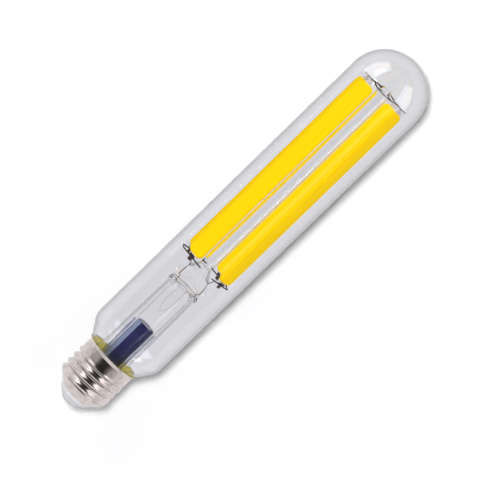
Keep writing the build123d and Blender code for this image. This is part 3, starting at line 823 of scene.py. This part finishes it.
sheet_at = thread_tree.nodes.new("GeometryNodeInputPosition")
sheet_axes = add_node(thread_tree, "ShaderNodeSeparateXYZ", {0: sheet_at}).outputs
sheet_turn = thread_math("ARCTAN2", sheet_axes["Y"], sheet_axes["X"])
turns_up = thread_math("DIVIDE", thread_math("SUBTRACT", sheet_axes["Z"], given["Start"]), given["Pitch"])
nearest_end = thread_math("MINIMUM", turns_up, thread_math("SUBTRACT", given["Turns"], turns_up))
fade = add_node(thread_tree, "ShaderNodeMapRange", {
    "Value": nearest_end, "From Max": given["Runout"]}, interpolation_type="SMOOTHSTEP")
wave_turn = thread_math("SUBTRACT", sheet_turn, thread_math("MULTIPLY", turns_up, 2 * pi))
wave = thread_math("COSINE", thread_math("ADD", wave_turn, given["Phase"]))
for factor in (given["Depth"], 0.5, fade):
    wave = thread_math("MULTIPLY", wave, factor)
sheet_move = add_node(thread_tree, "ShaderNodeCombineXYZ", {
    "X": thread_math("MULTIPLY", thread_math("COSINE", sheet_turn), wave),
    "Y": thread_math("MULTIPLY", thread_math("SINE", sheet_turn), wave)})
end_tree(thread_tree, given, add_node(thread_tree, "GeometryNodeSetPosition", {
    "Geometry": given["Geometry"], "Offset": sheet_move}))

# %% Shell
PITCH, THREAD_START_Z, THREAD_TURNS, CREST_Z, RUNOUT_TURNS = 3.629, 9.4, 3.6, 21.1, 0.35
MEAN_RADIUS, THREAD_DEPTH, SHELL_WALL, SKIRT_END_Z = 12.675, 0.95, 0.3, 27.064
CONE_END_RADIUS, CONE_END_Z, RIM_RADIUS, RIM_Z = 7.9, 4.7, 13.6, 28.564


def shell_outline(inset):
    """One face of the sheet: cone, the height of the thread, skirt and flared rim."""
    mean = MEAN_RADIUS - inset
    corners = [
        (CONE_END_RADIUS - inset * 1.4, CONE_END_Z), (mean, THREAD_START_Z),
        (mean, SKIRT_END_Z), (RIM_RADIUS - inset, RIM_Z),
    ]
    return divided(bend(corners, [0.9, 1.2], 8), 0.14)


sheet = lathe("sheet", shell_outline(0) + shell_outline(SHELL_WALL)[::-1], steps=180)
crest_turns = (CREST_Z - THREAD_START_Z) / PITCH
shell = grow("rolled_shell", sheet, thread_tree, {
    "Pitch": PITCH * MM, "Depth": THREAD_DEPTH * MM, "Start": THREAD_START_Z * MM,
    "Turns": THREAD_TURNS, "Runout": RUNOUT_TURNS, "Phase": 2 * pi * crest_turns - pi, "Material": nickel})
place(shell, nickel, "cap_metal", "cap_shell")

# %% [markdown]
# ## Insulator, contact and cement
# A pale moulded plug closes the cone and holds the riveted contact. Turned outlines with
# rounded corners show the moulding better than the plain solids do. The cement is a mix that
# was baked hard, so its bead is lumpy, and a fine noise moves its points.

# %% Plug and contact
plug_outline = bend(
    [(1.63, 0.9), (4.43, 0.9), (7.3, 3.4), (7.9, 4.67), (7.42, 4.67), (9.0, 8.6), (1.63, 8.6), (1.63, 0.9)],
    [0.15, 0.5, 0.1, 0.05, 0.2, 0.1], 6)
plug = lathe("moulded_plug", divided(plug_outline)[:-1])
place(plug, plug_finish, "insulator_plastic", "insulator")

contact_outline = [(0, 0), (2.5, 0)] + [tuple(p) for p in arc((2.5, 0), (4.4, 0.9), (1, 0))]
contact_outline += [(1.6, 0.9), (1.6, 9.6), (0.7, 9.6), (0.7, 2.7), (0, 2.7)]
contact = lathe("riveted_contact", divided(contact_outline), steps=96)
place(contact, contact_finish, "contact_metal", "centre_contact")

# %% Cement


def lumpy(point):
    """Lowers a point of the cement's bead a little, but not its sides."""
    if point.z > 27.5:
        point.z -= 0.25 * (0.5 + 0.5 * noise.noise(point * 0.9)) + 0.1 * abs(noise.noise(point * 2.7))
    return point


cement_inside = [(radius + 0.03, z) for radius, z in envelope_outline(0) if z < 28.5]
cement_outline = [(11.87, 19.0), (11.87, 22.46), (12.3, 23.4), (12.3, 27.06), (13.2, 28.5)]
cement_outline += [(12.9, 28.53), (12.5, 28.53), (12.2, 28.53)] + cement_inside[::-1]
cement = lathe("cement_bead", divided(cement_outline, 0.6), moved=lumpy)
place(cement, cement_finish, "cement", "basing_cement")

# %% [markdown]
# ## Wires
# The wires are soft and bent by hand, so they are nearly straight but never quite. A tree
# takes a path, wanders it a little with a noise, and sweeps a circle along it. The top ring
# has tilted on its arms, so that from the front it shows as a narrow loop.

# %% Wire tree
wire_tree, given = new_tree(
    "wire_on_path", {"Radius": "Float", "Wander": "Float", "Seed": "Float", "Material": "Material"})
wire_curve = add_node(wire_tree, "GeometryNodeMeshToCurve", {0: given["Geometry"]})
wire_cut = add_node(wire_tree, "GeometryNodeResampleCurve", {"Curve": wire_curve, "Length": 0.35 * MM}, mode="LENGTH")
wire_noise = add_node(wire_tree, "ShaderNodeTexNoise", {
    "W": given["Seed"], "Scale": 130.0, "Detail": 1.0}, noise_dimensions="4D").outputs["Color"]
wire_sway = add_node(wire_tree, "ShaderNodeVectorMath", {0: wire_noise, 1: (0.5, 0.5, 0.5)}, operation="SUBTRACT")
wire_shift = add_node(wire_tree, "ShaderNodeVectorMath", {0: wire_sway, "Scale": given["Wander"]}, operation="SCALE")
wire_line = add_node(wire_tree, "GeometryNodeSetPosition", {"Geometry": wire_cut, "Offset": wire_shift})
wire_circle = add_node(wire_tree, "GeometryNodeCurvePrimitiveCircle", {"Resolution": 12, "Radius": given["Radius"]})
wire_sweep = add_node(wire_tree, "GeometryNodeCurveToMesh", {
    "Curve": wire_line, "Profile Curve": wire_circle, "Fill Caps": True})
end_tree(wire_tree, given, add_node(wire_tree, "GeometryNodeSetShadeSmooth", {"Geometry": wire_sweep}))

# %% Wires


def wire(name, path, radius, wander, seed, material, slot, node):
    """Grows one wire along a path in millimetres, in place of the frame's node."""
    base = base_of(name + "_path", path, [(n, n + 1) for n in range(len(path) - 1)])
    piece = grow(name, base, wire_tree, {
        "Radius": radius * MM, "Wander": wander * MM, "Seed": seed, "Material": material})
    place(piece, material, slot, node)


def around(radius, azimuth, z):
    """A point at a distance from the lamp's axis, in a direction counted from X, at a height."""
    return Vector((radius * cos(radians(azimuth)), radius * sin(radians(azimuth)), z))


AZIMUTHS = [-35.5, 54.5, 144.5, 234.5]
LEAD_ENDS = {"left": Vector((-6.5, -9.6, 84.4)), "right": Vector((7.1, -10.2, 84.4))}
LEAD_REACH, LEAD_START_Z, LEAD_BEND_Z = 5.4, 17.5, 79.6
LOWER_WIRE_Z, LOWER_WIRE_HALF, BUS_RADIUS = 84.7, 7.0, 11.945
ARM_Z, ARM_START, ARM_END = 192.83, 1.6, 15.0
RING_RADIUS, RING_RISE = 5.9, 0.95
for side, first, second in (("left", AZIMUTHS[3], AZIMUTHS[2]), ("right", AZIMUTHS[1], AZIMUTHS[0])):
    corners = []
    for azimuth in (first, second):
        middle, along = around(BUS_RADIUS, azimuth, LOWER_WIRE_Z), around(LOWER_WIRE_HALF, azimuth + 90, 0)
        corners += [middle + along, middle - along]
    wire(f"bent_wire_{side}", bend(corners, [1.5, 1.5], 8), 0.3, 0.12, 3.0,
         wire_finish, "dark_wire", f"lower_wire_{side}")
for side, sign in (("left", -1), ("right", 1)):
    foot = Vector((DRIVER_X + sign * LEAD_REACH, 0, LEAD_START_Z))
    lead_path = bend([foot, (foot.x, 0, LEAD_BEND_Z), LEAD_ENDS[side]], [4.0], 10)
    wire(f"lead_{side}", lead_path, 0.19, 0.1, 7.0, lead_finish, "lead_metal", f"lead_wire_{side}")


def on_ring(radius, azimuth):
    """A point in the plane of the tilted top ring."""
    return around(radius, azimuth, ARM_Z - 0.1 + radius / RING_RADIUS * RING_RISE * sin(radians(azimuth)))


for number, azimuth in enumerate(AZIMUTHS, 1):
    arm_path = [on_ring(ARM_START, azimuth), on_ring(RING_RADIUS, azimuth)]
    arm_path += [around(9.5, azimuth, ARM_Z), around(ARM_END, azimuth, ARM_Z)]
    wire(f"arm_{number}", arm_path, 0.2, 0.1, number, wire_finish, "dark_wire", f"top_arm_{number}")
ring_path = [on_ring(RING_RADIUS, 5 * step) for step in range(73)]
wire("ring", ring_path, 0.21, 0.05, 5.0, wire_finish, "dark_wire", "top_ring")

# %% [markdown]
# ## Filaments
# Each filament is a stiff white strip in a thick coat of yellow silicone, laid on as a bead,
# so its corners are round and its face is a little crowned. The mesh is a stack of rounded
# outlines that shrink towards both faces. A slow noise keeps the coat from looking machined.

# %% Coats
COAT_START_Z, COAT_LENGTH, COAT_RADIUS = 86.3, 104.0, 12.4
COAT_WIDTH, COAT_HALF, COAT_EDGE, COAT_CORNER = 8.7, 1.1, 0.8, 2.4


def slot_outline(inset, sides=64, ends=10):
    """The coat's outline seen from the front, moved inwards by the inset."""
    half, tall = COAT_WIDTH / 2 - inset, COAT_LENGTH / 2 - inset
    corner = max(COAT_CORNER - inset, 0.35 * half)
    turns = [pi / 2 * step / ends for step in range(ends + 1)]
    quarter = [(corner * cos(turn), corner * sin(turn)) for turn in turns]
    side, top = half - corner, tall - corner
    loop = [(half, -top + 2 * top * step / sides) for step in range(sides)]
    loop += [(side + across, top + up) for across, up in quarter]
    loop += [(-side - across, top + up) for across, up in quarter[::-1]]
    loop += [(-half, top - 2 * top * step / sides) for step in range(1, sides)]
    loop += [(-side - across, -top - up) for across, up in quarter]
    loop += [(side + across, -top - up) for across, up in quarter[::-1][:-1]]
    return loop


def coat(number, azimuth):
    """One filament's coat, crowned on both faces, at its direction round the rod."""
    insets = [COAT_WIDTH / 2 - 0.02 - step * (COAT_WIDTH / 2 - COAT_EDGE) / 7 for step in range(7)]
    levels = [(inset, -COAT_HALF) for inset in insets]
    for step in range(17):
        turn = pi * step / 16 - pi / 2
        edge_middle = (COAT_HALF - COAT_EDGE) * (1 if turn > 0 else -1)
        levels.append((COAT_EDGE * (1 - cos(turn)), edge_middle + COAT_EDGE * sin(turn)))
    levels += [(inset, COAT_HALF) for inset in insets[::-1]]
    out, along = around(1, azimuth, 0), around(1, azimuth + 90, 0)
    middle_z = COAT_START_Z + COAT_LENGTH / 2
    points = []
    for inset, height in levels:
        crown = 0.05 * (1 - min(1.0, inset / (COAT_WIDTH / 2))) ** 2
        for across, up in slot_outline(inset):
            soft = 0.05 * (noise.noise(Vector((across * 0.25, up * 0.12, number * 9.0 + height))) - 0.6)
            thick = height * (1 - crown / COAT_HALF)
            across = across * (1 + 0.008 * (noise.noise(Vector((number * 5.0, up * 0.1, 0))) - 1))
            thick += soft if height > 0 else -soft
            points.append(out * (COAT_RADIUS + thick) + along * across + Vector((0, 0, middle_z + up)))
    count = len(slot_outline(0))
    faces = [list(range(count)), list(range(len(points) - count, len(points)))]
    for level in range(len(levels) - 1):
        for step in range(count):
            after = (step + 1) % count
            a, b = level * count, (level + 1) * count
            faces.append([a + step, a + after, b + after, b + step])
    return mesh_piece(f"silicone_{number}", points, faces, sharp=80)


for number, azimuth in enumerate(AZIMUTHS, 1):
    bead = coat(number, azimuth)
    # The coats' painted glow would light the paper, so diffuse rays don't see the coats.
    bead.visible_diffuse = False
    place(bead, silicone, "filament_silicone", f"filament_coat_{number}")

# %% [markdown]
# ## Weld beads
# The lugs are welded to the wires, and the arms to the ring. Each weld leaves a small uneven
# bead. A tree puts one bead on every weld point, each stretched in its own way.

# %% Weld tree
weld_tree, given = new_tree("weld_beads", {"Size": "Float", "Material": "Material"})
weld_points = add_node(weld_tree, "GeometryNodeMeshToPoints", {"Mesh": given["Geometry"]})
weld_bead = add_node(weld_tree, "GeometryNodeMeshIcoSphere", {"Radius": given["Size"], "Subdivisions": 3})
weld_smooth = add_node(weld_tree, "GeometryNodeSetShadeSmooth", {"Geometry": weld_bead})
weld_scale = add_node(weld_tree, "FunctionNodeRandomValue", {
    0: (0.75, 0.75, 0.6), 1: (1.35, 1.2, 1.1), "Seed": 11}, data_type="FLOAT_VECTOR")
end_tree(weld_tree, given, add_node(weld_tree, "GeometryNodeInstanceOnPoints", {
    "Points": weld_points, "Instance": weld_smooth, "Scale": weld_scale}))

# %% Weld beads
weld_places = []
for azimuth in AZIMUTHS:
    weld_places.append(around(BUS_RADIUS, azimuth, LOWER_WIRE_Z))
    weld_places.append(around(COAT_RADIUS, azimuth, ARM_Z - 0.2))
    weld_places.append(on_ring(RING_RADIUS, azimuth))
weld_places += list(LEAD_ENDS.values())
weld_base = base_of("weld_places", weld_places)
welds = grow("weld_beads", weld_base, weld_tree, {"Size": 0.42 * MM, "Material": weld_finish})
place(welds, weld_finish, "lug_metal")

# %% [markdown]
# ## Capacitor and its sleeves
# The capacitor's film was shrunk on, so it is tight, with a soft edge at the top and the can
# showing inside its lip. The clear sleeve round it is loose and creased. It is one thin sheet
# with a wall, pushed in by a noise that runs along it.

# %% Shrunk film
CAN_START_Z, CAN_END_Z = 23.3, 48.3
film_outline = bend([(4.6, CAN_START_Z), (4.6, CAN_END_Z + 0.2), (3.5, CAN_END_Z + 0.2)], [0.7], 8)
film_outline += bend([(3.5, CAN_END_Z + 0.01), (4.41, CAN_END_Z + 0.01), (4.41, CAN_START_Z)], [0.6], 8)
shrunk_film = lathe("shrunk_film", divided(film_outline), x=DRIVER_X, steps=96)
place(shrunk_film, film, "capacitor_film", "capacitor_sleeve")

# %% Loose sleeve


def creased(point):
    """Pushes the loose sleeve in along its length by a noise."""
    away = Vector((point.x - DRIVER_X, point.y, 0))
    fold = noise.noise(Vector((away.x * 0.42, away.y * 0.42, point.z * 0.05)))
    ripple = noise.noise(Vector((away.x * 0.9, away.y * 0.9, point.z * 0.18 + 7)))
    push = -0.28 + 0.3 * fold + 0.1 * ripple
    return point + away.normalized() * min(0.0, push)


SLEEVE_RADIUS, SLEEVE_BORE, SLEEVE_START_Z, SLEEVE_END_Z = 6.4, 6.2, 19.6, 47.4
sleeve_outline = [(SLEEVE_RADIUS, SLEEVE_START_Z), (SLEEVE_RADIUS, SLEEVE_END_Z)]
sleeve_outline += [(SLEEVE_BORE, SLEEVE_END_Z), (SLEEVE_BORE, SLEEVE_START_Z)]
loose_sleeve = lathe("loose_sleeve", divided(sleeve_outline, 0.8), x=DRIVER_X, steps=144, moved=creased)
loose_sleeve.visible_shadow = False
place(loose_sleeve, clear_film, "clear_film", "clear_sleeve")

# %% [markdown]
# ## Parts of the frame that stay
# The small flat parts are right as they are in the frame. They only get their finishes.

# %% Finishes on frame nodes
stays = {
    "driver_board": laminate, "capacitor_can": aluminium, "capacitor_bung": rubber,
    "capacitor_legs": lead_finish, "choke_core": ferrite, "choke_winding": winding_copper,
    "fuse_resistor": resistor_lacquer, "contact_wire": lead_finish, "shell_wire": lead_finish,
    "rectifier": chip_plastic, "controller": chip_plastic,
}
for number in range(1, 5):
    stays[f"filament_strip_{number}"] = ceramic
    # The lower lugs get a dark finish and the upper lugs a bright one.
    stays[f"lower_lug_{number}"], stays[f"upper_lug_{number}"] = lug_finish, bright_lug
for node, material in stays.items():
    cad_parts[node].material_slots[0].material = material
print(len(stays), "frame nodes keep their shape")
